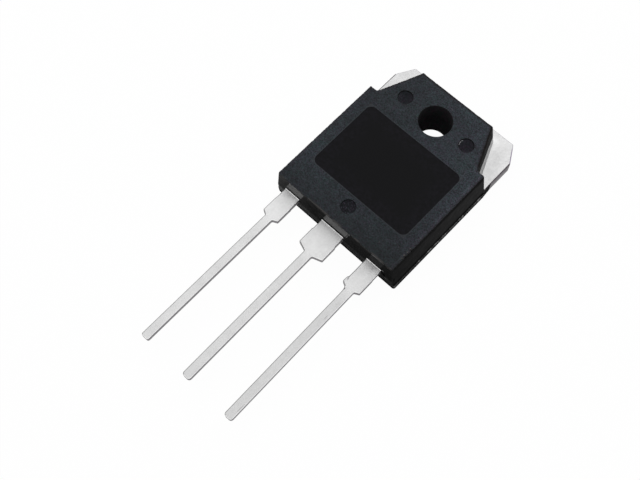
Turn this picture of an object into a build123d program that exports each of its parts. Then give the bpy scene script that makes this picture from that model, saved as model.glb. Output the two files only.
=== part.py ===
from build123d import *
import os
from math import hypot, radians, tan

# Three-lead power transistor (IGBT) in a TO-3P package: an epoxy block moulded round a
# stamped copper leadframe, with the mounting hole through both.
#
# Frame, in millimetres: the origin is on the axis of the mounting hole in the plane of the
# back face, +Z runs up to the marked face, +Y runs from the leads towards the tab, and +X
# runs from the gate lead to the emitter lead. The part lies on its back on Z = 0.

# ---- moulded body ---------------------------------------------------------------------
body_height = 4.8             # back face to marked face
hole_d = 3.5                  # mounting hole
hole_lining = 0.6             # epoxy wall between the hole and the copper
side_cover = 0.1              # long sides beyond the sides of the tab, below the ledge
ledge_height = 0.8            # where the lower mould half stands proud of the upper one
ledge_step = 0.07             # how far it stands proud
side_draft = 5.3              # long sides above the ledge, in degrees
end_face_y = -14.9            # face that the leads leave, at the underside of the leads
end_draft_above = 0.9         # the same face above the leads
end_draft_below = 6.2         # and below them
shoulder_y = -1.0             # front edge of the bare tab corners
shoulder_width = 0.75         # shoulder between a long side and the nose
nose_y = 3.8                  # far end of the nose, at the tab
nose_half_width = 4.95        # the same end, across X
nose_draft = 6.3              # shoulder and far end of the nose
nose_side_draft = 8.7         # sloping sides of the nose
front_corner_r = 0.25         # corners of the outline at the leads
nose_corner_r = 0.12          # and at the shoulders and the nose
top_edge_break = 0.08         # broken edge round the marked face
mark_field = (12.0, 8.6)      # smooth bare field for the marking
mark_field_y = -7.27
mark_field_depth = 0.03
mark_field_r = 0.75
ejector_d = 1.6               # recesses left by the ejector pins
ejector_depth = 0.12
ejector_at = ((-4.0, 0.0), (4.0, 0.0), (0.0, -12.8))

# ---- leadframe ------------------------------------------------------------------------
tab_thickness = 1.5
tab_half_width = 7.8
tab_end_y = 5.0
tab_chamfer = (1.15, 1.95)    # corner cut across X and along Y
tab_corner_r = 0.15
header_inset = 1.0            # side of the tab to the side of the header in the epoxy
header_setback = 3.5          # end face to the header
header_lock = 0.6             # undercut round the header that keys it into the epoxy
header_lock_height = 0.9
groove_half_width = 5.4       # groove that stops the solder short of the hole
groove_width = 0.5
groove_depth = 0.25
groove_gap = 0.35             # solder to groove
lead_thickness = 0.6
lead_bottom = 2.2             # underside of the leads above the back face
lead_pitch = 5.45
lead_length = 20.0            # outside the end face
narrow_width = 1.0
tip_r = 0.3
neck_r = 0.25                 # fillet between the shoulder and the narrow part
wide_corner_r = 0.1
wide_length = 3.1             # outside the end face
outer_wide = 1.94             # wide part of the gate and emitter leads
outer_shoulder_drop = 0.27    # slope of its shoulder, along Y
centre_wide = 2.88            # wide part of the collector lead
centre_shoulder_drop = 0.37
dam_bar_from = 1.25           # stubs left where the dam bar was trimmed off
dam_bar_length = 1.1
dam_bar_stub = 0.05
dam_bar_corner_r = 0.04
joggle_setback = 0.35         # header to the bend that lifts the collector lead off it
joggle_run = 1.6              # length of the bend along Y
joggle_r = 0.35
joggle_lap = 0.4              # straight stretch before and after the bend
post_width = 4.3              # bond posts of the gate and emitter leads
post_length = 1.5
post_setback = 1.65           # end face to the post
post_overhang = 0.33          # how far the post passes the outer edge of its lead
post_corner_r = 0.2
lock_hole_d = 0.7             # hole in each lead that the epoxy fills

# ---- die and bonds ---------------------------------------------------------------------
die_size = (7.0, 6.2, 0.24)
die_setback = 1.4             # front edge of the header to the die
solder_thickness = 0.06
solder_margin = 0.1
gate_wire_d = 0.2
gate_pad_inset = (0.8, 0.7)   # from the gate side and the front edge of the die
gate_foot_x = 1.15            # foot on the post, inwards of the middle of the lead
emitter_wire_d = 0.4
emitter_wires = 3
emitter_pad_inset = (0.7, 3.0)    # first foot, from the emitter side and the front edge
emitter_pad_step = (-1.55, -0.6)  # from one foot to the next
emitter_foot_x = -0.25        # first foot on the post, inwards of the middle of the lead
emitter_foot_step = 1.2
wire_rise = 1.15              # where the two runs of the wire would meet, above the post
wire_peak = 0.46              # and as a share of its span
wire_bend_r = 1.2             # bend between the two runs
foot_length = 3.0             # flattened foot, in wire diameters
foot_width = 1.4
foot_height = 0.65

# ---- places that follow ------------------------------------------------------------------
lead_top = lead_bottom + lead_thickness
base_half_width = tab_half_width + side_cover
header_half_width = tab_half_width - header_inset
header_end_y = end_face_y + header_setback
joggle_start_y = header_end_y - joggle_setback
joggle_end_y = joggle_start_y - joggle_run
post_y = end_face_y + post_setback + post_length / 2
die_front_y = header_end_y + die_setback
die_y = die_front_y + die_size[1] / 2
die_bottom = tab_thickness + solder_thickness
die_top = die_bottom + die_size[2]
copper_hole_d = hole_d + 2 * hole_lining


def lean(angle, height):
    """How far a face with the given draft leans over within a height."""
    return tan(radians(angle)) * height


def near(value, target):
    return abs(value - target) < 1e-6


def mirrored(right):
    """Closed outline from its right half, which runs in order round the part."""
    return right + [(-x, y) for x, y in reversed(right)]


def side_at(z):
    """Half width of the long sides of the upper mould half at height z."""
    return base_half_width - ledge_step - lean(side_draft, z - ledge_height)


def end_face_at(z):
    """Y of the end face at height z: it is furthest out at the underside of the leads."""
    if z < lead_bottom:
        return end_face_y + lean(end_draft_below, lead_bottom - z)
    return end_face_y + lean(end_draft_above, z - lead_bottom)


def nose_side_at(y, rise):
    """X of the sloping side of the nose at the given Y and rise above the tab."""
    notch_half_width = side_at(tab_thickness) - shoulder_width
    run_x, run_y = nose_half_width - notch_half_width, nose_y - shoulder_y
    drafted = lean(nose_side_draft, rise) * hypot(run_x, run_y) / run_y
    return notch_half_width + (y - shoulder_y) * run_x / run_y - drafted


def rounded_outline(right):
    """Face of a mirrored outline, with its corners at the leads and at the nose rounded."""
    face = make_face(Polyline(*mirrored(right), close=True))
    front = min(v.Y for v in face.vertices())
    corners = [v for v in face.vertices() if near(v.Y, front)]
    face = fillet(corners, front_corner_r).face()
    corners = [v for v in face.vertices() if v.Y > front + 2 * front_corner_r]
    return fillet(corners, nose_corner_r).face()


def body_outline(z, inset=0.0):
    """Outline of the epoxy above the tab, with its nose, at height z."""
    rise = z - tab_thickness
    side = side_at(z) - inset
    shoulder = shoulder_y - lean(nose_draft, rise) - inset
    nose_end = nose_y - lean(nose_draft, rise) - inset
    right = [
        (side, end_face_at(z) + inset),
        (side, shoulder),
        (nose_side_at(shoulder, rise) - inset, shoulder),
        (nose_side_at(nose_end, rise) - inset, nose_end),
    ]
    return Pos(0, 0, z) * rounded_outline(right).outer_wire()


def base_outline(z, half_width):
    """Outline of the epoxy round the sides and the front of the header at height z."""
    front = end_face_at(z)
    right = [(half_width, front), (half_width, shoulder_y)]
    return Pos(0, 0, z) * rounded_outline(right).outer_wire()


def loft_up(low, high):
    """Drafted solid between two outlines."""
    return Solid.make_loft([low, high], ruled=True)


def plate(right, bottom, top):
    """Flat plate of a mirrored outline."""
    face = make_face(Polyline(*mirrored(right), close=True))
    return Pos(0, 0, bottom) * extrude(face, top - bottom)


def upright(x, y, diameter, bottom, top):
    """Upright cylinder between two heights."""
    stand = (Align.CENTER, Align.CENTER, Align.MIN)
    return Pos(x, y, bottom) * Cylinder(diameter / 2, top - bottom, align=stand)


def slab(x, y, size, bottom):
    """Rectangular block standing on the height bottom."""
    return Pos(x, y, bottom) * Box(*size, align=(Align.CENTER, Align.CENTER, Align.MIN))


def flat_lead(wide, shoulder_drop, back_y):
    """Lead centred on X = 0, from back_y inside the epoxy out to its tip."""
    half, narrow = wide / 2, narrow_width / 2
    wide_end = end_face_y - wide_length
    neck = wide_end - shoulder_drop
    tip = end_face_y - lead_length
    right = [(narrow, tip), (narrow, neck), (half, wide_end), (half, back_y)]
    face = make_face(Polyline(*mirrored(right), close=True))
    for y, radius in ((neck, neck_r), (wide_end, wide_corner_r), (tip, tip_r)):
        face = fillet([v for v in face.vertices() if near(v.Y, y)], radius)
    stub_y = end_face_y - dam_bar_from - dam_bar_length / 2
    face += Pos(0, stub_y) * RectangleRounded(
        wide + 2 * dam_bar_stub, dam_bar_length, dam_bar_corner_r
    )
    return Pos(0, 0, lead_bottom) * extrude(face, lead_thickness)


def side_lead(side):
    """Gate lead (side -1) or emitter lead (side +1) with its bond post."""
    lead = flat_lead(outer_wide, outer_shoulder_drop, post_y)
    post_x = side * (outer_wide / 2 + post_overhang - post_width / 2)
    post = Pos(post_x, post_y) * RectangleRounded(post_width, post_length, post_corner_r)
    lead += Pos(0, 0, lead_bottom) * extrude(post, lead_thickness)
    lead -= upright(0, end_face_y + post_setback / 2, lock_hole_d, lead_bottom, lead_top)
    return Pos(side * lead_pitch, 0, 0) * lead


def joggle():
    """Bend that lifts the collector lead from the front edge of the header."""
    back, out = header_end_y + joggle_lap, joggle_end_y - joggle_lap
    # The profile is drawn as (Y, Z) and extruded across X.
    lower = [(back, header_lock_height), (joggle_start_y, header_lock_height)]
    lower += [(joggle_end_y, lead_bottom), (out, lead_bottom)]
    upper = [(out, lead_top), (joggle_end_y, lead_top)]
    upper += [(joggle_start_y, tab_thickness), (back, tab_thickness)]
    profile = make_face(Polyline(*(lower + upper), close=True))
    for y in (joggle_start_y, joggle_end_y):
        profile = fillet([v for v in profile.vertices() if near(v.X, y)], joggle_r)
    return extrude(Plane.YZ * profile, centre_wide / 2, both=True)


def collector_frame():
    """Bare tab, header and collector lead, stamped and formed from one strip."""
    cut_x, cut_y = tab_chamfer
    tab = [
        (tab_half_width, shoulder_y),
        (tab_half_width, tab_end_y - cut_y),
        (tab_half_width - cut_x, tab_end_y),
    ]
    pad_half = header_half_width - header_lock
    pad = [(pad_half, header_end_y + header_lock), (pad_half, shoulder_y)]
    flange = [(header_half_width, header_end_y), (header_half_width, shoulder_y)]
    tab_face = make_face(Polyline(*mirrored(tab), close=True))
    tab_corners = [v for v in tab_face.vertices() if v.Y > shoulder_y and not near(v.Y, shoulder_y)]
    frame = extrude(fillet(tab_corners, tab_corner_r), tab_thickness)
    frame += plate(pad, 0, tab_thickness)
    frame += plate(flange, header_lock_height, tab_thickness)
    frame -= upright(0, 0, copper_hole_d, 0, tab_thickness)
    groove_y = die_y + die_size[1] / 2 + solder_margin + groove_gap + groove_width / 2
    groove_size = (2 * groove_half_width, groove_width, groove_depth)
    frame -= slab(0, groove_y, groove_size, tab_thickness - groove_depth)
    return frame + joggle() + flat_lead(centre_wide, centre_shoulder_drop, joggle_end_y - joggle_lap)


def bond_wire(diameter, start, end):
    """Looped wire from the die to a post, with a flattened foot at each end."""
    (x0, y0), (x1, y1) = start, end
    foot_size = [share * diameter for share in (foot_length, foot_width, foot_height)]
    peak = (x0 + (x1 - x0) * wire_peak, y0 + (y1 - y0) * wire_peak, lead_top + wire_rise)
    ends = (x0, y0, die_top + foot_size[2]), (x1, y1, lead_top + foot_size[2])
    path = FilletPolyline(ends[0], peak, ends[1], radius=wire_bend_r)
    wire = sweep(Plane(origin=path @ 0, z_dir=path % 0) * Circle(diameter / 2), path)
    along = Plane(origin=(0, 0, 0), x_dir=(x1 - x0, y1 - y0, 0), z_dir=(0, 0, 1))
    for x, y, z in ((x0, y0, die_top), (x1, y1, lead_top)):
        wire += Pos(x, y, z) * (along * slab(0, 0, foot_size, 0))
    return wire


def gate_bond():
    inset_x, inset_y = gate_pad_inset
    pad = (inset_x - die_size[0] / 2, die_front_y + inset_y)
    return bond_wire(gate_wire_d, pad, (gate_foot_x - lead_pitch, post_y))


def emitter_bond(number):
    inset_x, inset_y = emitter_pad_inset
    step_x, step_y = emitter_pad_step
    pad_x = die_size[0] / 2 - inset_x + number * step_x
    pad_y = die_front_y + inset_y + number * step_y
    foot_x = lead_pitch - emitter_foot_x - number * emitter_foot_step
    return bond_wire(emitter_wire_d, (pad_x, pad_y), (foot_x, post_y))


def epoxy_block():
    """The moulding as if it were solid: a base round the header, then the drafted top."""
    brim = body_height - top_edge_break
    block = loft_up(base_outline(0, base_half_width), base_outline(ledge_height, base_half_width))
    block += loft_up(
        base_outline(ledge_height, side_at(ledge_height)),
        base_outline(tab_thickness, side_at(tab_thickness)),
    )
    for low, high in ((tab_thickness, lead_bottom), (lead_bottom, brim)):
        block += loft_up(body_outline(low), body_outline(high))
    block += loft_up(body_outline(brim), body_outline(body_height, top_edge_break))
    return block + upright(0, 0, copper_hole_d, 0, tab_thickness)


def moulded_body(inserts):
    """Epoxy block with its hole and recesses, less everything it was moulded round."""
    body = epoxy_block() - upright(0, 0, hole_d, 0, body_height)
    for x, y in ejector_at:
        body -= upright(x, y, ejector_d, body_height - ejector_depth, body_height)
    field = Pos(0, mark_field_y) * RectangleRounded(*mark_field, mark_field_r)
    body -= Pos(0, 0, body_height - mark_field_depth) * extrude(field, mark_field_depth)
    for insert in inserts:
        body -= insert
    return body


def build():
    solder_size = (die_size[0] + 2 * solder_margin, die_size[1] + 2 * solder_margin, solder_thickness)
    nodes = {
        "collector_frame": collector_frame(),
        "gate_lead": side_lead(-1),
        "emitter_lead": side_lead(1),
        "die_solder": slab(0, die_y, solder_size, tab_thickness),
        "igbt_die": slab(0, die_y, die_size, die_bottom),
        "gate_bond_wire": gate_bond(),
    }
    wires = [emitter_bond(number) for number in range(emitter_wires)]
    nodes["moulded_body"] = moulded_body(list(nodes.values()) + wires)
    nodes["emitter_bond_wires"] = Compound(children=[Part() + wire for wire in wires])
    return nodes


os.makedirs("parts", exist_ok=True)
for name, shape in build().items():
    export_step(shape, f"parts/{name}.step")
    size = shape.bounding_box().size
    print(name, round(shape.volume, 3), [round(v, 3) for v in (size.X, size.Y, size.Z)])
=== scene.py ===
"""Looks of a power transistor in a TO-3P package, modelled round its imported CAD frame.

Lengths are in millimetres, in the frame of the CAD model, unless a name says otherwise.
Meshes are scaled to metres when they become objects."""

from math import cos, hypot, pi, radians, sin, tan

import bpy
import numpy as np
from mathutils import Matrix, Vector, noise


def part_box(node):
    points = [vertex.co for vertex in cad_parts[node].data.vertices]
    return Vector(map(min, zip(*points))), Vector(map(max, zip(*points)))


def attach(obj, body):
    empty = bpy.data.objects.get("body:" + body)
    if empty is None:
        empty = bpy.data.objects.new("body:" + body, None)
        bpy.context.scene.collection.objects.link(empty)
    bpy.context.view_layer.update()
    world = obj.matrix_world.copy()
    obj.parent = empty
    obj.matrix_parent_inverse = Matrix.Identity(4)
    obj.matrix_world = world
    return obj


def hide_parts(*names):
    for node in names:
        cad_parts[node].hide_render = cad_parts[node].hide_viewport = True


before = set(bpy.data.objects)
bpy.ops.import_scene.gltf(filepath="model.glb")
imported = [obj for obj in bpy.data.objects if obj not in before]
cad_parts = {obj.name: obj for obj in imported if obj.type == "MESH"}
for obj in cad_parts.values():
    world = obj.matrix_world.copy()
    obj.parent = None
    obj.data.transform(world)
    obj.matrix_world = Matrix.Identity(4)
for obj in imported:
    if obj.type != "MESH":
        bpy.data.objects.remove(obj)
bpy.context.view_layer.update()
MM = 0.001


def box_mm(node):
    low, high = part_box(node)
    return low / MM, high / MM


# ---- sizes that the frame gives ----
body_low, body_high = box_mm("moulded_body")
frame_low, frame_high = box_mm("collector_frame")
gate_low, gate_high = box_mm("gate_lead")

body_height = body_high.z
base_half_width = body_high.x
end_face_y = body_low.y
nose_y = body_high.y
tab_half_width = frame_high.x
tab_end_y = frame_high.y
tip_y = frame_low.y
lead_bottom, lead_top = gate_low.z, gate_high.z

# ---- the same mould and strip in detail ----
hole_r = 1.75
lining_r = 2.35
ledge_height = 0.8
ledge_step = 0.07
side_draft = 5.3
end_draft_above = 0.9
end_draft_below = 6.2
shoulder_y = -1.0
shoulder_width = 0.75
nose_half_width = 4.95
nose_draft = 6.3
nose_side_draft = 8.7
front_corner_r = 0.25
nose_corner_r = 0.12
side_edge_r = 0.12            # rounding of the marked face at its sides
front_edge_r = 0.03           # along the leads, where the mould closed sharply
nose_edge_r = 0.2             # and round its nose
polish_top = 3.6              # upper end of the polish on the nose, at the shoulder
polish_drop = 0.18            # and its fall for each millimetre towards the end of the nose
seam = (2.12, 2.22)           # heights of the thin line across that polish
mark_field = (12.0, 8.6)
mark_field_y = -7.27
mark_field_depth = 0.03
mark_field_r = 0.7
ejector_r = 0.77
ejector_depth = 0.12
ejector_at = ((-4.0, 0.0), (4.0, 0.0), (0.0, -12.8))
ejector_foot = ((-0.1, 0.0), (-0.03, 0.02), (0.0, 0.06))
ejector_brim = ((0.0, -0.03), (0.01, -0.01), (0.04, 0.0), (0.5, 0.4))
hole_draft = 0.1              # how much narrower the hole is at the back
hole_break = 0.03             # its broken edges
tab_thickness = 1.5
tab_chamfer = (1.15, 1.95)
tab_corner_r = 0.15
tab_roll = 0.11               # edge of the tab's marked side, rolled over by the die
lead_rolls = (0.085, 0.05)    # edges of a lead's marked side, on its left and its right
pad_half_width = 6.2
pad_end_y = -10.8
pad_corner_r = 0.3
lead_pitch = 5.45
lead_half = 0.47
outer_half = 0.98
centre_half = 1.52
outer_drop = 0.27
centre_drop = 0.37
wide_length = 3.1
neck_r = 0.2
wide_corner_r = 0.1
tip_r = 0.3
dam_bar_from = 1.25           # where the strip was cut free: it is wider from there on
outer_stub = 0.03
centre_stub = 0.06
lead_root = 0.6               # how far a lead's mesh runs on into the epoxy
fillet_size = 0.055           # tin that climbs the epoxy above a lead
edge_r = 0.05                 # rounded edges of the stamped strip
gate_shifts = (-0.08, 0.03)   # lean of each lead: shift across X at its root and its tip
centre_shifts = (-0.11, 0.12)
emitter_shifts = (-0.13, 0.15)

# ---- how finely the meshes are drawn, and how far cutters reach past what they cut ----
wall_spacing = 0.08
lead_spacing = 0.4
flat_spacing = 0.5
face_edge_steps = 7
strip_edge_steps = 3
fillet_points = 24
overcut = 0.5
hole_overcut = 0.4


# ---- outlines ----
def lean(angle, height):
    """How far a face with the given draft leans over within a height."""
    return tan(radians(angle)) * height


def side_at(z):
    if z <= ledge_height:
        return base_half_width
    return base_half_width - ledge_step - lean(side_draft, z - ledge_height)


def end_face_at(z):
    if z < lead_bottom:
        return end_face_y + lean(end_draft_below, lead_bottom - z)
    return end_face_y + lean(end_draft_above, z - lead_bottom)


def nose_side_at(y, rise):
    """X of the sloping side of the nose at the given Y and rise above the tab."""
    notch = side_at(tab_thickness) - shoulder_width
    run_x, run_y = nose_half_width - notch, nose_y - shoulder_y
    drafted = lean(nose_side_draft, rise) * hypot(run_x, run_y) / run_y
    return notch + (y - shoulder_y) * run_x / run_y - drafted


def body_corners(z):
    rise = max(0.0, z - tab_thickness)
    shoulder = shoulder_y - lean(nose_draft, rise)
    nose_end = nose_y - lean(nose_draft, rise)
    right = [
        (side_at(z), end_face_at(z)),
        (side_at(z), shoulder),
        (nose_side_at(shoulder, rise), shoulder),
        (nose_side_at(nose_end, rise), nose_end),
    ]
    return mirrored(right)


def mirrored(right):
    """Closed outline from its right half, which runs in order round the part."""
    return right + [(-x, y) for x, y in reversed(right)]


def corner_arc(before, corner, after, radius, steps):
    """Points of the arc that rounds one corner."""
    before, corner, after = map(np.array, (before, corner, after))
    back = (before - corner) / np.linalg.norm(before - corner)
    on = (after - corner) / np.linalg.norm(after - corner)
    half = np.arccos(np.clip(back @ on, -1, 1)) / 2
    if radius < 1e-6 or half > pi / 2 - 1e-4:
        return [corner]
    bisector = (back + on) / np.linalg.norm(back + on)
    centre = corner + bisector * radius / sin(half)
    start, end = corner + back * radius / tan(half), corner + on * radius / tan(half)
    arc = []
    for step in range(steps + 1):
        swing = (pi / 2 - half) * (2 * step / steps - 1)
        level = cos(swing) * -bisector
        side = sin(swing) * (end - start) / np.linalg.norm(end - start)
        arc.append(centre + radius * (level + side))
    return arc


def rounded(corners, radii, spacing, like=None, steps=8):
    """Rounded outline with points about spacing apart. like holds the corners and radii of an
    outline whose number of points this one takes, so that the two join ring to ring."""
    count = len(corners)

    def arcs(points, sizes):
        return [
            corner_arc(points[i - 1], points[i], points[(i + 1) % count], sizes[i], steps)
            for i in range(count)
        ]

    own, model = arcs(corners, radii), arcs(*(like or (corners, radii)))
    outline = []
    for i in range(count):
        outline += own[i]
        start, end = own[i][-1], own[(i + 1) % count][0]
        run = np.linalg.norm(model[(i + 1) % count][0] - model[i][-1])
        pieces = max(1, round(run / spacing))
        outline += [start + (end - start) * k / pieces for k in range(1, pieces)]
    return np.array(outline)


def normals_of(outline):
    """Outward normals of a closed outline that runs anticlockwise."""
    along = np.roll(outline, -1, axis=0) - np.roll(outline, 1, axis=0)
    along /= np.maximum(np.linalg.norm(along, axis=1), 1e-9)[:, None]
    return np.stack([along[:, 1], -along[:, 0]], axis=1)


def circle(x, y, radius, segments=96):
    turn = np.arange(segments) * 2 * pi / segments
    return np.stack([x + radius * np.cos(turn), y + radius * np.sin(turn)], axis=1)


def quarter_turn(steps):
    """Angles of the rings of a rounded edge, from 0 to 90 degrees."""
    return [step * pi / (2 * steps) for step in range(steps + 1)]


# ---- meshes ----
def loft(rings):
    """Vertices and faces of the closed solid through rings of (outline, heights)."""
    count = len(rings[0][0])
    points = []
    for outline, z in rings:
        heights = np.broadcast_to(z, (count,))
        points += [(x, y, h) for (x, y), h in zip(outline, heights)]
    faces = [tuple(reversed(range(count)))]
    for level in range(len(rings) - 1):
        low, high = level * count, (level + 1) * count
        for i in range(count):
            j = (i + 1) % count
            faces.append((low + i, low + j, high + j, high + i))
    top = (len(rings) - 1) * count
    faces.append(tuple(range(top, top + count)))
    return points, faces


def weld(points, faces):
    """Mesh data in which points that coincide are one, and faces without area are left out."""
    found, kept, index = {}, [], []
    for point in points:
        key = tuple(round(float(value) * 1e5) for value in point)
        if key not in found:
            found[key] = len(kept)
            kept.append(tuple(float(value) for value in point))
        index.append(found[key])
    solid = []
    for face in faces:
        corners = [index[i] for i in face]
        corners = [c for i, c in enumerate(corners) if c != corners[i - 1]]
        if len(set(corners)) > 2 and len(set(corners)) == len(corners):
            solid.append(corners)
    return kept, [], solid


def make_object(name, parts):
    """Object, still in millimetres, of one or more (vertices, faces) solids."""
    points, faces = [], []
    for part_points, part_faces in parts:
        start = len(points)
        points += [tuple(p) for p in part_points]
        faces += [tuple(start + i for i in face) for face in part_faces]
    mesh = bpy.data.meshes.new(name)
    mesh.from_pydata(*weld(points, faces))
    made = bpy.data.objects.new(name, mesh)
    bpy.context.scene.collection.objects.link(made)
    return made


def prism(outline, bottom, top):
    return loft([(outline, bottom), (outline, top)])


def combine(target, tools, operation):
    """Cuts tools from target, or joins them to it, and removes the tools."""
    for index, tool in enumerate(tools):
        cutter = make_object(f"cutter_{index}", [tool])
        step = target.modifiers.new("combine", "BOOLEAN")
        step.operation = operation
        step.solver = "MANIFOLD"
        step.object = cutter
        graph = bpy.context.evaluated_depsgraph_get()
        result = bpy.data.meshes.new_from_object(target.evaluated_get(graph))
        target.modifiers.clear()
        target.data = result
        bpy.data.objects.remove(cutter)


def paint(piece, finishes, finish_of):
    """Gives each face of a piece the finish that finish_of names for it."""
    names = list(finishes)
    piece.data.materials.clear()
    for name in names:
        piece.data.materials.append(finishes[name])
    for face in piece.data.polygons:
        face.material_index = names.index(finish_of(face.center, face.normal))


def finish_piece(piece, nodes, sharp_angle=35):
    """Scales a piece to metres and ties it to the frame."""
    piece.data.transform(Matrix.Scale(MM, 4))
    piece.data.shade_smooth()
    piece.data.set_sharp_from_angle(angle=radians(sharp_angle))
    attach(piece, "root")
    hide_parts(*nodes)


# ---- epoxy body ----
ledge_rings = (0.0, 0.03, 0.25, 0.45, 0.6, 0.7, 0.74, 0.77, ledge_height)
tab_rings = (ledge_height + 0.004, 0.9, 1.05, 1.25, tab_thickness)
upper_rings = (polish_top + 0.1, 3.85, 4.0, 4.2, 4.4, 4.5)
back_edge = 0.03              # broken edge of the back face
face_edge_r = 0.1             # radius that the edge of the marked face has on average
wall_waves = ((0.004, 1.7), (0.003, 5.0))  # depth and frequency of a wall's unevenness
flash_reach = 0.035           # how far the parting flash stands out
flash_z = ledge_height - 0.02
flash_thickness = 0.07
wear_depth = 0.14             # how far below the marked face its edge is worn and chipped
polish_lean = 0.29            # sideways lean of the polished patches above the leads
polish_gap = 0.35             # dull strip between such a patch and its lead
chips = (                     # x, y, width along the edge, depth
    (7.42, -12.93, 0.15, 0.12),
    (7.42, -12.5, 0.06, 0.07),
    (7.42, -12.04, 0.10, 0.15),
    (7.42, -13.3, 0.05, 0.06),
    (7.42, -10.6, 0.05, 0.06),
)


def bell(distance, width):
    """1 at no distance, falling to almost nothing at twice the width."""
    return np.exp(-((distance / width) ** 2))


def wall_relief(point, normal, z):
    """How far the moulded wall stands out from its true surface at a point."""
    spot = Vector((point[0], point[1], z))
    relief = sum(depth * noise.noise(spot * grain) for depth, grain in wall_waves)
    if abs(normal[0]) > 0.6:
        beads = max(0.0, noise.noise(spot * 2.6) + 0.45 * noise.noise(spot * 7.0) - 0.05)
        relief += bell(z - flash_z, flash_thickness) * flash_reach * (0.25 + 1.6 * beads)
    near_top = bell(body_height - z, wear_depth)
    ragged = 0.05 * noise.noise(spot * 2.3 + Vector((9, 0, 0)))
    ragged += 0.06 * noise.noise(spot * 7.0)
    relief -= near_top * max(0.0, ragged) * (1.0 if abs(normal[0]) > 0.5 else 0.9)
    for x, y, width, depth in chips:
        relief -= near_top * depth * bell(hypot(point[0] - x, point[1] - y), width)
    return relief


def body_ring(z, inset=0.0, nose=True, turn=None):
    """One ring of the body. Without its nose, what lies past the shoulder is pressed flat
    against the front edge of the bare tab. A turn of 0 to 90 degrees gives a ring of the
    rounding of the marked face, which is sharper along the leads than at the sides."""
    radii = [front_corner_r] + [nose_corner_r] * 6 + [front_corner_r]
    like = body_corners(body_height), list(radii)
    if not nose:
        radii[1] = radii[-2] = 0.03
    outline = rounded(body_corners(z), radii, wall_spacing, like=like)
    if not nose:
        outline[:, 1] = np.minimum(outline[:, 1], shoulder_y)
    normals = normals_of(outline)
    corners = np.array(body_corners(z))
    pressed = outline[:, 1] > shoulder_y - 0.02
    heights = np.full(len(outline), z)
    for i, normal in enumerate(normals):
        relief = 0.0 if (pressed[i] and not nose) else wall_relief(outline[i], normal, z)
        if turn is not None:
            front = np.clip((-normal[1] - 0.6) / 0.3, 0, 1)
            nose_part = np.clip((outline[i][1] - shoulder_y + 0.4) / 0.4, 0, 1)
            radius = side_edge_r + (front_edge_r - side_edge_r) * front
            radius += (nose_edge_r - radius) * nose_part
            to_corner = min(hypot(*(outline[i] - corner)) for corner in corners)
            radius = min(radius, 0.09 + 0.4 * max(0.0, to_corner - 0.12))
            inset = radius * (1 - cos(turn))
            heights[i] = body_height - radius * (1 - sin(turn))
        outline[i] += normal * (relief - inset)
    return outline, heights


def polish_ring(share, offset=0.0):
    """Ring at a share of the way from the seam to the upper end of the polish on the nose."""
    (low, low_z), (high, high_z) = body_ring(seam[1]), body_ring(polish_top + 0.05)
    past = np.clip(low[:, 1] - shoulder_y, 0, None)
    heights = seam[1] + share * (polish_top - polish_drop * past - seam[1]) + offset
    way = (heights - low_z) / (high_z - low_z)
    return low + (high - low) * way[:, None], heights


def body_rings():
    """Rings of the whole body, from its back to its marked face, in rising height."""
    rings = []
    for z in ledge_rings:
        rings.append(body_ring(z, inset=0.0 if z else back_edge, nose=False))
    rings += [body_ring(z, nose=False) for z in tab_rings]
    rings += [body_ring(z) for z in (tab_thickness, 1.8, *seam)]
    rings += [polish_ring(0.4), polish_ring(0.8), polish_ring(1.0), polish_ring(1.0, 0.03)]
    rings += [body_ring(z) for z in upper_rings]
    for turn in quarter_turn(face_edge_steps):
        rings.append(body_ring(body_height - face_edge_r * (1 - sin(turn)), turn=turn))
    rings[-1] = (rings[-1][0], body_height)
    return rings


def epoxy_material_of(centre, normal):
    """Which finish a face of the body has, from where it lies and which way it faces."""
    x, y, z = centre
    below = body_height - z
    for pin_x, pin_y in ejector_at:
        if hypot(x - pin_x, y - pin_y) < ejector_r + 0.01 and 0.004 < below < 0.2:
            return "recess" if normal.z > 0.9 else "pin_wall"
    if hypot(x, y) < hole_r + 0.12 and abs(normal.z) < 0.9:
        return "bore"
    in_field = abs(x) < mark_field[0] / 2 + 0.01
    in_field = in_field and abs(y - mark_field_y) < mark_field[1] / 2 + 0.01
    if in_field and 0.002 < below < 0.06:
        return "field"
    if below < nose_edge_r and y > shoulder_y and normal.z < 0.985:
        return "nose"
    if normal.z > 0.6 and below < side_edge_r:
        return "top"
    if normal.z < -0.9 and z < 0.05:
        return "back"
    if z > tab_thickness and y > shoulder_y - 0.5 and abs(x) < side_at(z) - 0.1:
        polish_end = polish_top - polish_drop * max(0.0, y - shoulder_y)
        return "polish" if z < polish_end and not seam[0] < z < seam[1] else "nose"
    if normal.y < -0.75:
        return "patch" if above_lead(x, z) else "front"
    return "wall"


def above_lead(x, z):
    """True on the polished patches of the end face above the gate and collector leads."""
    rise = z - lead_top
    for lead_x, half in ((-lead_pitch, outer_half), (0.0, centre_half)):
        if rise > polish_gap and abs(x - lead_x - polish_lean * rise) < half:
            return True
    return False


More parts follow.
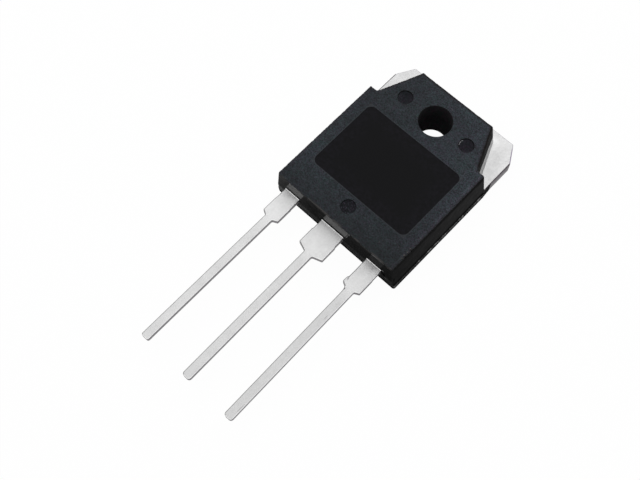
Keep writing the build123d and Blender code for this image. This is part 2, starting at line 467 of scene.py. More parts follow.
def build_body(finishes):
    body = make_object("epoxy_body", [loft(body_rings())])
    pad = mirrored([(pad_half_width, pad_end_y), (pad_half_width, shoulder_y + overcut)])
    pocket = rounded(pad, [pad_corner_r, 0, 0, pad_corner_r], flat_spacing)
    combine(body, [prism(pocket, -overcut, tab_thickness)], "DIFFERENCE")
    combine(body, [prism(circle(0, 0, lining_r), 0, tab_thickness + 0.2)], "UNION")
    combine(body, [tab_cover(side) for side in (-1, 1)], "UNION")
    width, length = mark_field[0] / 2, mark_field[1] / 2
    field = mirrored([(width, mark_field_y - length), (width, mark_field_y + length)])
    field = rounded(field, [mark_field_r] * 4, flat_spacing)
    cuts = [hole_cutter()]
    cuts += [ejector_cutter(x, y) for x, y in ejector_at]
    cuts.append(prism(field, body_height - mark_field_depth, body_height + overcut))
    combine(body, cuts, "DIFFERENCE")
    paint(body, finishes, epoxy_material_of)
    finish_piece(body, ["moulded_body"])


def tab_cover(side):
    """Thin tongue of epoxy that runs out along the side of the bare tab."""
    inner, outer = tab_half_width - 0.03, base_half_width - 0.015
    start, end = shoulder_y - 0.3, shoulder_y + 0.95
    outline = [(inner, start), (outer, start), (outer, shoulder_y)]
    outline += [(inner + 0.04, end), (inner, end)]
    if side < 0:
        outline = [(-x, y) for x, y in reversed(outline)]
    return prism(outline, 0.02, tab_thickness - 0.02)


def hole_cutter():
    """Hole with a slight draft and a slightly broken edge at both faces."""
    back_r, past = hole_r - hole_draft, hole_break + hole_overcut
    steps = [(back_r + past, -hole_overcut), (back_r, hole_break)]
    steps += [(hole_r, body_height - hole_break), (hole_r + past, body_height + hole_overcut)]
    return loft([(circle(0, 0, radius), z) for radius, z in steps])


def ejector_cutter(x, y):
    """Shallow pit: ejector_foot and ejector_brim hold the growth of its radius at heights
    counted from its floor and from the marked face."""
    steps = [(grow, body_height - ejector_depth + rise) for grow, rise in ejector_foot]
    steps += [(grow, body_height + rise) for grow, rise in ejector_brim]
    return loft([(circle(x, y, ejector_r + grow, 64), z) for grow, z in steps])


# ---- stamped strip ----
def stamped(outline, bottom, top, left_roll, right_roll):
    """Plate of an outline with rounded edges. The radii are those of the edges of its upper
    face that look to the left and to the right."""
    normals = normals_of(outline)
    leftward = np.clip((-normals[:, 0] - 0.2) / 0.3, 0, 1)
    roll = right_roll + (left_roll - right_roll) * leftward
    turns = quarter_turn(strip_edge_steps)
    even = np.full(len(outline), edge_r)
    rings = [(even * (1 - sin(t)), bottom + edge_r * (1 - cos(t))) for t in turns]
    rings += [(roll * (1 - sin(t)), top - roll * (1 - cos(t))) for t in reversed(turns)]
    return loft([(outline - normals * inset[:, None], z) for inset, z in rings])


def lead_outline(wide_half, drop, stub, narrower=0.0, tip=tip_r, bent=False):
    """Outline of a lead centred on X = 0, from inside the epoxy out to its tip. A bent one
    has the small burr that its left shoulder took when it was cut free."""
    wide_end = end_face_y - wide_length
    root_half = wide_half - stub
    bar = end_face_y - dam_bar_from
    half = lead_half - narrower
    right = [
        (half, tip_y, tip),
        (half, wide_end - drop, neck_r),
        (wide_half, wide_end, wide_corner_r),
        (wide_half, bar - 0.06, 0.1),
        (root_half, bar + 0.06, 0.1),
        (root_half, end_face_y + lead_root, 0),
    ]
    left = [(-x, y, r) for x, y, r in reversed(right)]
    if bent:
        left[1:] = [
            (-root_half, bar + 0.06, 0.1),
            (-root_half - 0.01, wide_end + 0.62, 0.1),
            (-wide_half - 0.08, wide_end + 0.5, 0.1),
            (-wide_half - 0.12, wide_end - 0.1, 0.1),
            (-half - 0.16, wide_end - drop - 0.08, 0.1),
            (-half - 0.02, wide_end - drop - 0.45, 0.1),
            (-half, wide_end - drop - 0.7, 0.3),
            left[-1],
        ]
    corners = [(x, y) for x, y, _ in right + left]
    return rounded(corners, [r for _, _, r in right + left], lead_spacing, steps=6)


def placed(solid, x, root_shift, tip_shift):
    """Lead moved to its place across X, with the slight lean of a real one."""
    points, faces = solid
    moved = []
    for px, y, z in points:
        share = max(0.0, (end_face_y - y) / (end_face_y - tip_y))
        moved.append((px + x + root_shift + (tip_shift - root_shift) * share, y, z))
    return moved, faces


def root_fillet(x, half):
    """Thin line of tin that climbs the epoxy where a lead leaves it."""
    y = end_face_at(lead_top)
    points = []
    for step in np.linspace(-half + 0.03, half - 0.03, fillet_points):
        size = fillet_size * (0.75 + 0.5 * noise.noise(Vector((step * 3 + x, 0, 0))))
        profile = (0.05, -0.02), (-size, -0.005), (-0.3 * size, 0.6 * size), (0.05, size)
        points += [(x + step, y + dy, lead_top + rise) for dy, rise in profile]
    last = len(points) - 4
    faces = [(0, 1, 2, 3)]
    for start in range(0, last, 4):
        for j in range(4):
            a, b = start + j, start + (j + 1) % 4
            faces.append((b, a, a + 4, b + 4))
    faces.append((last + 3, last + 2, last + 1, last))
    return points, faces


def strip_material_of(centre, normal):
    """Which finish a face of the strip has: flat faces, cut sides or the rim between them. The
    rims and sides are lit and shaded copies of tin, chosen by the way a face looks: a painted
    highlight on rims facing right and on the line at the root, painted shade on rims facing
    left, painted light and shade on the tab's rims, paler where they face away, and painted
    shade on the cut sides of bare stamped metal.
    """
    if end_face_y - 0.12 < centre.y < end_face_y + 0.1 and centre.z > lead_top + 0.002:
        return "rim"
    if abs(normal.z) > 0.97:
        return "tin" if centre.z > tab_thickness + 0.1 else "tab"
    # Rims and sides of the tab: painted paler where they face away, painted dark elsewhere.
    if centre.z < tab_thickness:
        far = normal.y > 0.45 * hypot(normal.x, normal.y) and normal.z > 0.2
        return "far_rim" if far else "tab_cut"
    # Rims facing left get painted shade, the others a painted highlight.
    if normal.z > 0.3:
        return "roll" if normal.x < -0.25 * hypot(normal.x, normal.y) else "rim"
    return "cut"


def build_side_lead(name, node, side, shifts, finishes, **details):
    outline = lead_outline(outer_half, outer_drop, outer_stub, **details)
    solid = stamped(outline, lead_bottom, lead_top, *lead_rolls)
    x = side * lead_pitch
    parts = [placed(solid, x, *shifts), root_fillet(x + shifts[0], outer_half - outer_stub)]
    lead = make_object(name, parts)
    paint(lead, finishes, strip_material_of)
    finish_piece(lead, [node], sharp_angle=50)


def header_outline():
    """Outline of the pad inside the epoxy and of the bare tab that it runs out into."""
    cut_x, cut_y = tab_chamfer
    right = [
        (pad_half_width, pad_end_y, pad_corner_r),
        (pad_half_width, shoulder_y, 0),
        (tab_half_width, shoulder_y, 0),
        (tab_half_width, tab_end_y - cut_y, tab_corner_r),
        (tab_half_width - cut_x, tab_end_y, tab_corner_r),
    ]
    corners = mirrored([(x, y) for x, y, _ in right])
    radii = [r for _, _, r in right]
    return rounded(corners, radii + radii[::-1], flat_spacing, steps=5)


def build_collector(finishes):
    header = stamped(header_outline(), 0.0, tab_thickness, tab_roll, tab_roll)
    frame_piece = make_object("collector_strip", [header])
    combine(frame_piece, [prism(circle(0, 0, lining_r), -1, tab_thickness + 1)], "DIFFERENCE")
    outline = lead_outline(centre_half, centre_drop, centre_stub)
    lead = stamped(outline, lead_bottom, lead_top, *lead_rolls)
    fillet = root_fillet(centre_shifts[0], centre_half - centre_stub)
    lead_piece = make_object("lead_part", [placed(lead, 0.0, *centre_shifts), fillet])
    with bpy.context.temp_override(
        active_object=frame_piece,
        object=frame_piece,
        selected_objects=[frame_piece, lead_piece],
        selected_editable_objects=[frame_piece, lead_piece],
    ):
        bpy.ops.object.join()
    paint(frame_piece, finishes, strip_material_of)
    finish_piece(frame_piece, ["collector_frame"], sharp_angle=50)


# ---- materials ----
class Shader:
    """Small helper that adds nodes to one material and links them."""

    def __init__(self, name):
        self.material = bpy.data.materials.new(name)
        self.material.use_nodes = True
        self.tree = self.material.node_tree
        self.bsdf = self.tree.nodes["Principled BSDF"]
        where = self.node("ShaderNodeTexCoord")
        scale = self.node("ShaderNodeVectorMath", operation="SCALE")
        scale.inputs["Scale"].default_value = 1 / MM
        self.link(where.outputs["Object"], scale.inputs[0])
        self.place = scale.outputs[0]

    def node(self, kind, **settings):
        made = self.tree.nodes.new(kind)
        for key, value in settings.items():
            setattr(made, key, value)
        return made

    def link(self, start, end):
        self.tree.links.new(start, end)

    def noise(self, scale, detail=2.0, roughness=0.5, stretch=None):
        """Noise over the place in millimetres: scale is in bumps to the millimetre."""
        made = self.node("ShaderNodeTexNoise")
        made.inputs["Scale"].default_value = scale
        made.inputs["Detail"].default_value = detail
        made.inputs["Roughness"].default_value = roughness
        place = self.place
        if stretch:
            squeeze = self.node("ShaderNodeVectorMath", operation="MULTIPLY")
            squeeze.inputs[1].default_value = stretch
            self.link(place, squeeze.inputs[0])
            place = squeeze.outputs[0]
        self.link(place, made.inputs["Vector"])
        return made.outputs["Fac"]

    def ramp(self, value, stops):
        """Colour ramp through (position, colour) stops. A number stands for a grey."""
        made = self.node("ShaderNodeValToRGB")
        band = made.color_ramp
        while len(band.elements) < len(stops):
            band.elements.new(0.5)
        for element, (position, colour) in zip(band.elements, stops):
            element.position = position
            colour = (colour,) * 3 if isinstance(colour, (int, float)) else colour
            element.color = (*colour, 1)
        self.link(value, made.inputs["Fac"])
        return made.outputs["Color"]

    def mix(self, amount, first, second, blend="MIX"):
        """Mixes two colours: each is an output, a colour or a grey."""
        made = self.node("ShaderNodeMix", data_type="RGBA", blend_type=blend)
        for value, socket in ((amount, 0), (first, 6), (second, 7)):
            if isinstance(value, bpy.types.NodeSocket):
                self.link(value, made.inputs[socket])
            elif socket == 0:
                made.inputs[socket].default_value = value
            else:
                colour = (value,) * 3 if isinstance(value, (int, float)) else value
                made.inputs[socket].default_value = (*colour, 1)
        return made.outputs[2]

    def math(self, operation, *values):
        made = self.node("ShaderNodeMath", operation=operation)
        for socket, value in zip(made.inputs, values):
            if isinstance(value, bpy.types.NodeSocket):
                self.link(value, socket)
            else:
                socket.default_value = value
        return made.outputs[0]

    def product(self, value, *others):
        """Numbers multiplied together."""
        for other in others:
            value = self.math("MULTIPLY", value, other)
        return value

    def ragged(self, value, reach, *grain):
        """Value plus up to reach of noise, so that an edge drawn where it passes a limit
        wanders."""
        return self.math("ADD", value, self.product(self.noise(*grain), reach))

    def axis(self, name):
        made = self.node("ShaderNodeSeparateXYZ")
        self.link(self.place, made.inputs[0])
        return made.outputs[name]

    def rise(self, value, start, end, kind="SMOOTHSTEP"):
        """0 where value is at start or before it, 1 from end on."""
        made = self.node("ShaderNodeMapRange", interpolation_type=kind)
        self.link(value, made.inputs["Value"])
        made.inputs["From Min"].default_value = start
        made.inputs["From Max"].default_value = end
        return made.outputs[0]

    def band(self, value, low, high, soft):
        """1 where value lies between low and high, with soft edges."""
        up = self.rise(value, low - soft, low + soft)
        return self.product(up, self.rise(value, high + soft, high - soft))

    def spot(self, centre, radii, soft):
        """1 inside an ellipsoid, with a soft rim."""
        away = self.node("ShaderNodeVectorMath", operation="SUBTRACT")
        away.inputs[1].default_value = centre
        self.link(self.place, away.inputs[0])
        share = self.node("ShaderNodeVectorMath", operation="DIVIDE")
        share.inputs[1].default_value = radii
        self.link(away.outputs[0], share.inputs[0])
        length = self.node("ShaderNodeVectorMath", operation="LENGTH")
        self.link(share.outputs[0], length.inputs[0])
        return self.rise(length.outputs["Value"], 1 + soft, 1 - soft)

    def times(self, colour, *factors):
        """Colour multiplied by other colours or greys."""
        for factor in factors:
            colour = self.mix(1.0, colour, factor, "MULTIPLY")
        return colour

    def bump(self, height, depth):
        """Bump of the given depth in millimetres."""
        made = self.node("ShaderNodeBump")
        made.inputs["Distance"].default_value = depth * MM
        self.link(height, made.inputs["Height"])
        self.link(made.outputs[0], self.bsdf.inputs["Normal"])

    def set(self, **values):
        """Sets sockets of the shader by name, with underscores for spaces."""
        for key, value in values.items():
            socket = self.bsdf.inputs[key.replace("_", " ")]
            if isinstance(value, bpy.types.NodeSocket):
                self.link(value, socket)
            else:
                socket.default_value = value
        return self.material


def mottled(s, dark, light, grain, speckle):
    """Colour of moulding compound: soft mottling, a slight tint and fine filler speckle."""
    colour = s.ramp(s.noise(0.9, 4.0, 0.6), [(0.3, dark), (0.7, light)])
    broad = s.ramp(s.noise(0.35, 3.0), [(0.35, (1.06, 0.97, 1.05)), (0.6, (0.96, 1.02, 1.0))])
    tint = s.noise(grain * 0.8, 2.0)
    tint = s.ramp(tint, [(0.33, (1.2, 0.9, 1.1)), (0.67, (0.8, 1.08, 1.0))])
    fine = s.noise(grain, 2.0, 0.7)
    speckled = s.ramp(fine, [(0.33, 1 - speckle), (0.67, 1 + speckle)])
    return s.times(colour, broad, tint, speckled)


def epoxy(name, dark, light, specular, grain, depth, rough, speckle=0.35):
    """Moulding compound with a spark-eroded grain of the given depth."""
    s = Shader(name)
    s.bump(s.noise(grain, 3.0, 0.6), depth)
    return s.set(
        Base_Color=mottled(s, dark, light, grain * 0.9, speckle),
        Roughness=s.ramp(s.noise(2.0), [(0.3, rough - 0.06), (0.7, rough + 0.06)]),
        Specular_IOR_Level=specular,
    )


def edge_distance(s):
    """Distance in millimetres from the outline of the marked face."""
    (half_width, _), (inner, shoulder), (outer, nose_end) = body_corners(body_height)[1:4]
    slope = Vector((nose_end - shoulder, inner - outer)).normalized()
    across, y = s.math("ABSOLUTE", s.axis("X")), s.axis("Y")
    side = s.math("SUBTRACT", half_width, across)
    level = s.math("ADD", s.product(across, slope.x), s.product(y, slope.y))
    nose = s.math("SUBTRACT", slope.x * inner + slope.y * shoulder, level)
    nose = s.math("MAXIMUM", nose, s.math("SUBTRACT", shoulder, y))
    nearest = s.math("MINIMUM", side, s.math("SUBTRACT", nose_end, y))
    return s.math("MINIMUM", nearest, nose)


def past_field(s):
    """Distance in millimetres past the border of the marking field, less than 0 inside it."""
    across = s.math("SUBTRACT", s.math("ABSOLUTE", s.axis("X")), mark_field[0] / 2)
    along = s.math("ABSOLUTE", s.math("SUBTRACT", s.axis("Y"), mark_field_y))
    return s.math("MAXIMUM", across, s.math("SUBTRACT", along, mark_field[1] / 2))


def epoxy_top():
    """Marked face: spark-eroded and flecked. Painted light makes it paler towards the tab and
    lighter or darker across it; a painted highlight lies just inside its edge, with painted
    shade on the rounding itself; painted highlights run along the border of the marking field
    and along the edge above the leads, and painted shade fills the chips.
    """
    s = Shader("epoxy_top")
    x, y = s.axis("X"), s.axis("Y")
    colour = mottled(s, (0.0115, 0.0143, 0.0163), (0.016, 0.0203, 0.0228), 8.0, 0.9)
    # Painted light: paler towards the tab, and lighter or darker across the face, by halves.
    paler = s.rise(y, end_face_y, nose_y, "LINEAR")
    paler = s.ramp(paler, [(0.0, 0.6), (0.12, 1.0), (0.25, 1.13), (0.8, 1.12), (1.0, 1.2)])
    front_half = s.ramp(s.rise(x, -7.0, 7.0, "LINEAR"), [(0.0, 1.15), (1.0, 0.78)])
    back_half = s.ramp(s.rise(x, -5.0, 7.0, "LINEAR"), [(0.0, 0.8), (1.0, 1.28)])
    paler = s.times(paler, s.mix(s.rise(y, -12.0, -3.0), front_half, back_half))
    # Painted shade on the rounding of the edge, with a violet tint, and a painted highlight
    # just inside it along the emitter's side and round the nose; along the gate's side the
    # edge only gets a little painted shade.
    near = s.math("DIVIDE", s.ragged(edge_distance(s), 0.12, 3.0), 0.8)
    edge_highlight_and_shade = s.ramp(near, [(0.05, 0.55), (0.2, 0.8), (0.42, 1.4), (0.6, 1.15), (0.8, 1.0)])
    plain = s.ramp(near, [(0.05, 0.8), (0.3, 1.0)])
    # Round the nose: painted shade on the rounding and a faint painted highlight inside it.
    rolled = s.ramp(near, [(0.1, 0.28), (0.36, 0.5), (0.58, 1.12), (0.8, 1.1), (1.0, 1.0)])
    warm = s.ramp(near, [(0.1, (1.2, 0.95, 1.02)), (0.75, 1.0)])
    edge_highlight_and_shade = s.mix(s.rise(y, shoulder_y - 0.6, shoulder_y), edge_highlight_and_shade, rolled)
    far = s.rise(s.math("ADD", x, s.product(s.rise(y, 2.0, 3.0), 8.0)), -1.0, 3.0)
    colour = s.times(colour, paler, s.mix(far, plain, edge_highlight_and_shade), warm)
    # Painted highlight along the border of the marking field.
    border = s.band(past_field(s), -0.2, 0.09, 0.02)
    colour = s.mix(s.product(border, 0.5), colour, (0.03, 0.032, 0.036))
    # Painted highlight in patches along the edge above the leads.
    front = s.rise(s.ragged(y, 0.1, 5.0), end_face_y + 0.3, end_face_y + 0.15)
    bright = s.rise(s.noise(0.7, 3.0), 0.42, 0.55)
    colour = s.mix(s.product(front, bright), colour, (0.033, 0.031, 0.031))
    fleck = s.rise(s.noise(4.0, 1.0), 0.71, 0.76)
    colour = s.mix(s.product(fleck, 0.4), colour, (0.05, 0.043, 0.04))
    colour = chip_marks(s, colour)
    s.bump(s.noise(8.0, 3.0, 0.6), 0.02)
    return s.set(
        Base_Color=colour,
        Roughness=s.ramp(s.noise(2.0), [(0.3, 0.56), (0.7, 0.68)]),
        Specular_IOR_Level=0.22,
    )


# A pit in a side wall, drawn only as a spot of painted shade.
wall_pit_shade = ((7.66, -14.6, 2.2), (0.09, 0.09, 0.42))  # centre and radii
front_marks = (               # centre, radii and grey of two bright marks and a dark one
    ((6.93, end_face_y, 1.72), (0.2, 0.5, 0.07), 0.15),
    ((6.45, end_face_y, 3.02), (0.12, 0.5, 0.14), 0.13),
    ((6.62, end_face_y, 2.3), (0.17, 0.5, 0.3), 0.003),
)


def chip_marks(s, colour):
    """Chips in the edge of the marked face: painted shade fills the hollow of each, with pale
    rims inside them.
    """
    for x, y, width, depth in chips:
        pale = s.spot((x - 0.17, y + 0.05, body_height), (0.09, 0.5 * width, 0.15), 0.6)
        colour = s.mix(s.product(pale, 0.7), colour, (0.1, 0.09, 0.085))
        # Painted shade in the hollow of the chip.
        pit = s.spot((x - 0.02, y, body_height), (1.15 * depth, 0.8 * width, 0.25), 0.3)
        colour = s.mix(pit, colour, 0.003)
    return colour


def epoxy_side():
    """Side walls, by height: parting flash with bright beads of painted highlight, painted
    shade below the flash and just above it, satin that painted light makes paler towards the
    tab, and rough at the top; painted shade marks a pit and the chips.
    """
    s = Shader("epoxy_wall")
    z = s.axis("Z")
    satin = s.ramp(s.noise(1.4, 3.0), [(0.3, 0.021), (0.7, 0.029)])
    # Painted light: the satin grows paler from the end face towards the tab.
    painted_light_towards_tab = s.rise(s.axis("Y"), end_face_y, shoulder_y, "LINEAR")
    satin = s.times(satin, s.ramp(painted_light_towards_tab, [(0.0, 0.72), (0.5, 1.14), (1.0, 1.45)]))
    rough = s.ramp(s.noise(4.0, 3.0), [(0.35, 0.012), (0.7, 0.019)])
    colour = s.mix(s.rise(s.ragged(z, 0.35, 1.5, 3.0), 4.475, 4.075), rough, satin)
    # Painted shade on the wall just above the parting flash.
    colour = s.mix(s.rise(z, 1.5, 1.15), colour, s.times(rough, 0.6))
    # Painted highlights on the beads of the parting flash.
    beads = s.ramp(s.noise(1.9, 3.0, 0.7), [(0.4, 0.04), (0.54, 0.09), (0.66, 0.38)])
    colour = s.mix(s.rise(z, 0.86, 0.83), colour, beads)
    # Painted shade at the foot of the wall, below the flash.
    colour = s.mix(s.rise(z, 0.6, 0.48), colour, (0.006, 0.006, 0.0065))
    # Painted shade in the pit of the wall and in the chips.
    colour = chip_marks(s, s.mix(s.spot(*wall_pit_shade, 0.4), colour, 0.006))
    s.bump(s.noise(5.0, 3.0, 0.6), 0.012)
    return s.set(Base_Color=colour, Roughness=0.6, Specular_IOR_Level=0.0)


def epoxy_front():
    """End face: satin, darker towards the emitter lead and paler below the leads; a painted
    reflection of the emitter lead leans up it, a painted highlight runs along its top edge and
    painted shade darkens its foot.
    """
    s = Shader("epoxy_front")
    x, z = s.axis("X"), s.axis("Z")
    place = s.rise(x, -base_half_width, base_half_width, "LINEAR")
    tone = [(0.03, 0.052), (0.12, 0.038), (0.33, 0.022), (0.76, 0.02)]
    tone = s.ramp(place, tone + [(0.83, 0.0135), (0.95, 0.0145)])
    mottle = s.ramp(s.noise(1.6, 4.0, 0.7), [(0.3, 0.75), (0.7, 1.25)])
    streaks = s.ramp(s.noise(1.0, 4.0, 0.7, (0.8, 1.0, 7.0)), [(0.35, 0.6), (0.65, 1.7)])
    foot = s.rise(z, 2.25, 1.95)
    crown = s.ramp(s.rise(z, 3.9, 4.7), [(0.0, 1.0), (1.0, 1.2)])
    colour = s.times(tone, mottle, crown)
    colour = s.mix(foot, colour, s.times(tone, mottle, streaks, 1.7))
    # Painted highlight in patches along the top edge.
    edge = s.product(s.band(z, 4.6, 4.9, 0.06), s.rise(s.noise(0.9, 3.0), 0.45, 0.6))
    colour = s.mix(edge, colour, (0.05, 0.047, 0.045))
    # Painted reflection of the emitter lead, leaning up the end face above it.
    emitter_reflection = s.band(s.math("ADD", x, s.product(z, -0.2)), 3.98, 5.5, 0.08)
    above = s.product(emitter_reflection, s.rise(z, lead_top + 0.1, lead_top + 0.3))
    colour = s.mix(above, colour, s.ramp(s.noise(2.5, 3.0), [(0.3, 0.026), (0.7, 0.046)]))
    # Painted bright streak near the top edge of that reflection.
    line = s.band(s.ragged(z, 0.5, 1.2, 3.0), 4.82, 4.96, 0.05)
    fading = s.ramp(s.rise(x, 4.8, 6.5), [(0.0, 1.0), (1.0, 0.45)])
    colour = s.mix(s.product(emitter_reflection, line, fading), colour, 0.2)
    for centre, radii, shade in front_marks:
        colour = s.mix(s.spot(centre, radii, 0.4), colour, shade)
    # Painted shade at the foot of the end face.
    colour = s.mix(s.rise(z, 0.75, 0.4), colour, 0.006)
    s.bump(s.noise(4.0, 3.0, 0.6), 0.01)
    return s.set(Base_Color=colour, Roughness=0.6, Specular_IOR_Level=0.0)


def epoxy_nose():
    """Eroded upper part of the sloping sides and the end of the nose, with its soft edge."""
    s = Shader("epoxy_nose")
    rough = s.ramp(s.noise(4.0, 3.0), [(0.35, 0.0095), (0.7, 0.0155)])
    warm = s.ramp(s.rise(s.axis("Z"), 4.4, 4.75), [(0.0, 1.0), (1.0, (1.1, 0.98, 0.94))])
    s.bump(s.noise(5.0, 3.0, 0.6), 0.01)
    return s.set(Base_Color=s.times(rough, warm), Roughness=0.75, Specular_IOR_Level=0.03)


def epoxy_polish():
    """Polished foot of the nose next to the bare tab, which it mirrors; below the seam its
    colour is a paler grey, a painted reflection of the tab.
    """
    s = Shader("epoxy_polish")
    # Painted reflection of the tab: paler grey below the seam.
    painted_tab_reflection = s.rise(s.axis("Z"), 2.2, 2.1)
    soft = s.ramp(s.noise(2.0, 3.0), [(0.3, 0.14), (0.7, 0.2)])
    return s.set(
        Base_Color=s.mix(painted_tab_reflection, (0.012, 0.012, 0.0125), 0.1),
        Roughness=soft,
        Specular_IOR_Level=0.5,
    )


def epoxy_patch():
    """Polished patches of the end face above the leads, which mirror them."""
    s = Shader("epoxy_patch")
    dull = s.ramp(s.noise(2.2, 3.0), [(0.35, 0.14), (0.7, 0.34)])
    dark = s.ramp(s.noise(3.0), [(0.3, 0.004), (0.7, 0.008)])
    return s.set(Base_Color=dark, Roughness=dull, Specular_IOR_Level=0.16)


def epoxy_recess():
    """Floor of the ejector marks: matt, mottled, with a painted highlight along the rim of
    one.
    """
    s = Shader("epoxy_recess")
    colour = mottled(s, (0.006, 0.0065, 0.008), (0.013, 0.0135, 0.016), 6.0, 0.6)
    fleck = s.ramp(s.noise(6.0, 2.0, 0.7), [(0.56, 1.0), (0.68, 3.5)])
    front = s.rise(s.axis("Y"), -9.0, -11.0)
    colour = s.mix(front, colour, s.times(colour, fleck, 0.66))
    # Painted highlight on part of the rim of the mark on the right.
    x, y = ejector_at[1]
    inner_r = ejector_r * 0.88
    rim = s.math("SUBTRACT", 1.0, s.spot((x, y, body_height), (inner_r, inner_r, 2.0), 0.03))
    part = s.spot((x - 0.62, y - 0.1, body_height), (0.3, 0.36, 2.0), 0.2)
    broken = s.rise(s.noise(3.0, 2.0), 0.38, 0.5)
    colour = s.mix(s.product(rim, part, broken), colour, (0.26, 0.26, 0.27))
    s.bump(s.noise(5.0, 3.0, 0.6), 0.02)
    return s.set(Base_Color=colour, Roughness=0.5, Specular_IOR_Level=0.08)


def epoxy_field():
    """Field for the marking: smooth and bare, with a violet tinge towards its border."""
    s = Shader("epoxy_field")
    near_border = s.rise(s.ragged(past_field(s), 1.6, 0.5, 3.0), -1.6, 0.2)
    plain = (0.0056, 0.0056, 0.0062)
    tinged = [(0.35, (0.0052, 0.0052, 0.0058)), (0.7, (0.0082, 0.0078, 0.0098))]
    s.bump(s.noise(8.0, 3.0, 0.6), 0.004)
    return s.set(
        Base_Color=s.mix(near_border, plain, s.ramp(s.noise(3.0, 3.0), tinged)),
        Roughness=0.5,
        Specular_IOR_Level=0.06,
    )


def epoxy_finishes():
    """Finishes of the moulded body, by the names that epoxy_material_of gives."""
    bore_dark, bore_light = (0.027, 0.026, 0.026), (0.036, 0.035, 0.035)
    back_dark, back_light = (0.013, 0.015, 0.017), (0.02, 0.022, 0.024)
    return {
        "top": epoxy_top(),
        "field": epoxy_field(),
        "recess": epoxy_recess(),
        # The walls of the ejector marks are painted darker, as shade in the recess.
        "pin_wall": epoxy("epoxy_pin_wall_shade", 0.004, 0.009, 0.0, 6.0, 0.01, 0.6),
        "bore": epoxy("epoxy_bore", bore_dark, bore_light, 0.0, 4.0, 0.003, 0.6, 0.1),
        "back": epoxy("epoxy_back", back_dark, back_light, 0.3, 6.0, 0.015, 0.55),
        "front": epoxy_front(),
        "patch": epoxy_patch(),
        "nose": epoxy_nose(),
        "polish": epoxy_polish(),
        "wall": epoxy_side(),
    }


strip_marks = (               # centre, radii and strength of dark marks on the emitter lead
    ((4.46, -17.45, lead_top), (0.03, 0.3, 0.1), 0.8),
    ((4.54, -17.66, lead_top), (0.04, 0.16, 0.1), 0.5),
    ((4.95, -18.62, lead_top), (0.05, 0.12, 0.1), 0.8),
    ((5.62, -21.93, lead_top), (0.04, 0.3, 0.1), 0.35),
    ((5.91, -33.5, lead_top), (0.05, 0.5, 0.1), 0.3),
    ((6.34, -16.9, lead_bottom), (0.09, 1.6, 0.62), 0.85),
)


def painted_lead_light(s):
    """Painted light on the leads: paler at the root and by the gate. They are also darker on
    the thin length.
    """
    wide_end = end_face_y - wide_length
    root = s.rise(s.axis("Y"), end_face_y - 1.4, end_face_y, "LINEAR")
    length = s.rise(s.axis("Y"), wide_end, wide_end - 2.0)
    across = s.rise(s.axis("X"), -lead_pitch, lead_pitch, "LINEAR")
    return s.times(
        s.ramp(root, [(0.0, 1.0), (1.0, 1.2)]),
        s.ramp(length, [(0.0, 1.0), (1.0, 0.895)]),
        s.ramp(across, [(0.0, 1.03), (0.5, 0.99), (1.0, 0.955)]),
    )


def painted_tab_light(s):
    """Painted light on the bare tab: paler beside the nose and towards the emitter's side."""
    beside = s.ramp(s.rise(edge_distance(s), -1.3, -0.5), [(0.0, 1.0), (1.0, 1.16)])
    across = s.ramp(s.rise(s.axis("X"), -7.0, 7.0, "LINEAR"), [(0.0, 0.97), (1.0, 1.05)])
    return s.times(beside, across)


def painted_chamfer_shade(s):
    """Painted shade on the rim of the tab: darker and violet on the chamfer by the emitter."""
    return s.ramp(s.rise(s.axis("X"), 6.7, 7.0), [(0.0, 1.0), (1.0, (0.5, 0.42, 0.56))])


def tin(name, colour, rough, depth, mottle=0.07, metallic=1.0, shade=None):
    """Tin plate or another metal: soft clouds, fine smudges and faint drawing lines."""
    s = Shader(name)
    clouds = s.ramp(s.noise(0.9, 4.0, 0.6), [(0.3, 1 - mottle), (0.7, 1.0)])
    smudge = s.ramp(s.noise(4.0, 3.0, 0.6), [(0.35, 1 - mottle / 2), (0.6, 1.0)])
    lines = s.noise(1.0, 3.0, 0.6, (6.0, 0.6, 1.0))
    lines = s.ramp(lines, [(0.35, 1 - mottle / 3), (0.65, 1.0)])
    colour = s.times(colour, clouds, smudge, lines)
    if shade:
        colour = s.times(colour, shade(s))
    for centre, radii, share in strip_marks:
        mark = s.product(s.spot(centre, radii, 0.4), share)
        colour = s.mix(mark, colour, (0.09, 0.082, 0.09))
    s.bump(s.noise(6.0, 3.0, 0.6), depth)
    return s.set(
        Base_Color=colour,
        Metallic=metallic,
        Roughness=s.ramp(s.noise(2.4, 3.0), [(0.3, rough - 0.05), (0.7, rough + 0.06)]),
    )


def strip_finishes():
    """Finishes of the stamped strip, by the names that strip_material_of gives."""
    return {
        "tin": tin("tin_plate", 0.8, 0.5, 0.0022, 0.08, 0.5, painted_lead_light),
        "tab": tin("tin_tab", 0.83, 0.5, 0.005, 0.14, 0.5, painted_tab_light),
        # Painted highlight on rims facing right and on the root line.
        "rim": tin("tin_rim_highlight", 0.95, 0.3, 0.002),
        # Tab rims that face away: painted paler than its other rims, as light, with painted
        # shade on the chamfer.
        "far_rim": tin("tin_far_rim", (0.6, 0.59, 0.61), 0.35, 0.002, shade=painted_chamfer_shade),
        # Painted shade on rims facing left.
        "roll": tin("tin_rolled_edge_shade", 0.32, 0.45, 0.004),
        # Cut sides of the leads: bare stamped metal, painted darker as shade.
        "cut": tin("tin_cut_edge_shade", (0.21, 0.2, 0.21), 0.45, 0.006),
        # Sides and other rims of the tab: painted dark as shade.
        "tab_cut": tin("tin_cut_tab_shade", (0.1, 0.088, 0.097), 0.45, 0.006),
    }


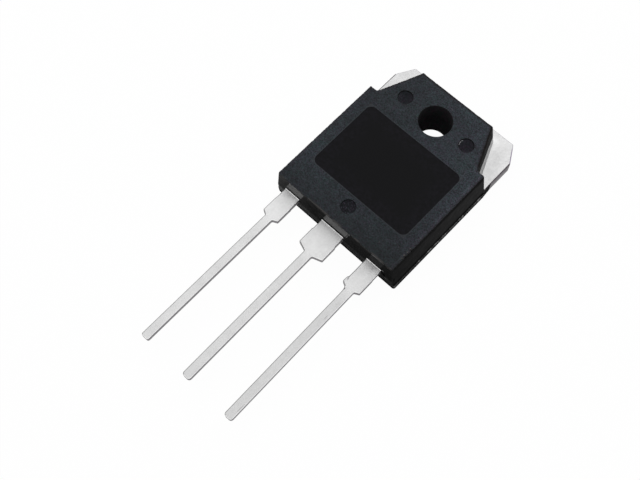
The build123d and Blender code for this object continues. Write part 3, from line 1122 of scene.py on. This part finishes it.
def inner_finishes():
    """The pieces sealed inside keep their CAD shape and get a material each."""
    silicon = tin("silicon", (0.35, 0.36, 0.42), 0.25, 0.001)
    solder = tin("solder", 0.5, 0.5, 0.004)
    aluminium = tin("aluminium_wire", (0.85, 0.85, 0.86), 0.3, 0.002)
    for node, material in (
        ("igbt_die", silicon),
        ("die_solder", solder),
        ("gate_bond_wire", aluminium),
        ("emitter_bond_wires", aluminium),
    ):
        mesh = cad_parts[node].data
        mesh.materials.clear()
        mesh.materials.append(material)


# ---- stage ----
floor_half = 300.0
floor_z = -0.02
floor_shade = 0.95            # colour of the floor for the light that it sends back
floor_glow = 0.97             # share of plain white in what the camera sees of it
ambient_level = 0.35
key_place = (-60, 60, 260)
key_aim = (0, -12, 0)
key_size = 400
key_watts = 0.75
view_azimuth = 44.72
view_elevation = 67.74
view_roll = -1.40
view_target = (-0.401, -16.356, 2.0)
view_distance = 94.27
view_lens = 54.23


def seen_rays(tree):
    """1 on camera, glossy and transmission rays."""
    path = tree.nodes.new("ShaderNodeLightPath")
    total = path.outputs["Is Camera Ray"]
    for name in ("Is Glossy Ray", "Is Transmission Ray"):
        most = tree.nodes.new("ShaderNodeMath")
        most.operation = "MAXIMUM"
        tree.links.new(total, most.inputs[0])
        tree.links.new(path.outputs[name], most.inputs[1])
        total = most.outputs[0]
    return total


def mix_to_output(tree, share, first, second, output):
    """Sends a mix of two shaders to an output node of the given kind."""
    mix = tree.nodes.new("ShaderNodeMixShader")
    for socket, value in zip(mix.inputs, (share, first.outputs[0], second.outputs[0])):
        tree.links.new(value, socket)
    out = tree.nodes.new(output)
    tree.links.new(mix.outputs[0], out.inputs["Surface"])


def build_floor():
    """White floor that the camera sees as an even ground."""
    half = floor_half
    square = [(-half, -half), (half, -half), (half, half), (-half, half)]
    floor = make_object("floor", [([(x, y, floor_z) for x, y in square], [(0, 1, 2, 3)])])
    floor.data.transform(Matrix.Scale(MM, 4))
    material = bpy.data.materials.new("floor")
    material.use_nodes = True
    tree = material.node_tree
    tree.nodes.clear()
    diffuse = tree.nodes.new("ShaderNodeBsdfDiffuse")
    diffuse.inputs["Color"].default_value = (floor_shade, floor_shade, floor_shade, 1)
    glow = tree.nodes.new("ShaderNodeEmission")
    share = tree.nodes.new("ShaderNodeMath")
    share.operation = "MULTIPLY"
    share.inputs[1].default_value = floor_glow
    tree.links.new(seen_rays(tree), share.inputs[0])
    mix_to_output(tree, share.outputs[0], diffuse, glow, "ShaderNodeOutputMaterial")
    floor.data.materials.append(material)


def build_world():
    """Even light from all sides, which the camera sees as plain white."""
    world = bpy.data.worlds.new("studio")
    bpy.context.scene.world = world
    world.use_nodes = True
    world.cycles.sampling_method = "NONE"
    tree = world.node_tree
    tree.nodes.clear()
    ambient = tree.nodes.new("ShaderNodeBackground")
    ambient.inputs["Strength"].default_value = ambient_level
    white = tree.nodes.new("ShaderNodeBackground")
    for background in (ambient, white):
        background.inputs["Color"].default_value = (1, 1, 1, 1)
    mix_to_output(tree, seen_rays(tree), ambient, white, "ShaderNodeOutputWorld")


def build_key_light():
    """Large soft lamp high above the tab, on the gate's side."""
    data = bpy.data.lights.new("key", "AREA")
    data.size = key_size * MM
    data.energy = key_watts
    lamp = bpy.data.objects.new("key", data)
    lamp.visible_glossy = False
    lamp.location = Vector(key_place) * MM
    aim = Vector(key_aim) * MM - lamp.location
    lamp.rotation_euler = aim.to_track_quat("-Z", "Y").to_euler()
    bpy.context.scene.collection.objects.link(lamp)


def build_camera():
    """Camera fitted to the photograph."""
    azimuth, elevation, roll = map(radians, (view_azimuth, view_elevation, view_roll))
    flat = cos(elevation)
    back = Vector((sin(azimuth) * flat, -cos(azimuth) * flat, sin(elevation)))
    level = Vector((cos(azimuth), sin(azimuth), 0))
    up = back.cross(level)
    right = level * cos(roll) + up * sin(roll)
    up = up * cos(roll) - level * sin(roll)
    data = bpy.data.cameras.new("camera")
    data.lens = view_lens
    data.clip_start = 0.001
    camera = bpy.data.objects.new("camera", data)
    place = (Vector(view_target) + back * view_distance) * MM
    turn = Matrix((right, up, back)).transposed().to_4x4()
    camera.matrix_world = Matrix.Translation(place) @ turn
    bpy.context.scene.collection.objects.link(camera)
    bpy.context.scene.camera = camera


# ---- the whole ----
build_body(epoxy_finishes())
strip = strip_finishes()
build_side_lead("gate_lead_tin", "gate_lead", -1, gate_shifts, strip, narrower=0.03, tip=0.19)
build_side_lead("emitter_lead_tin", "emitter_lead", 1, emitter_shifts, strip, bent=True)
build_collector(strip)
inner_finishes()
build_floor()
build_world()
build_key_light()
build_camera()
bpy.context.scene.view_settings.view_transform = "Standard"
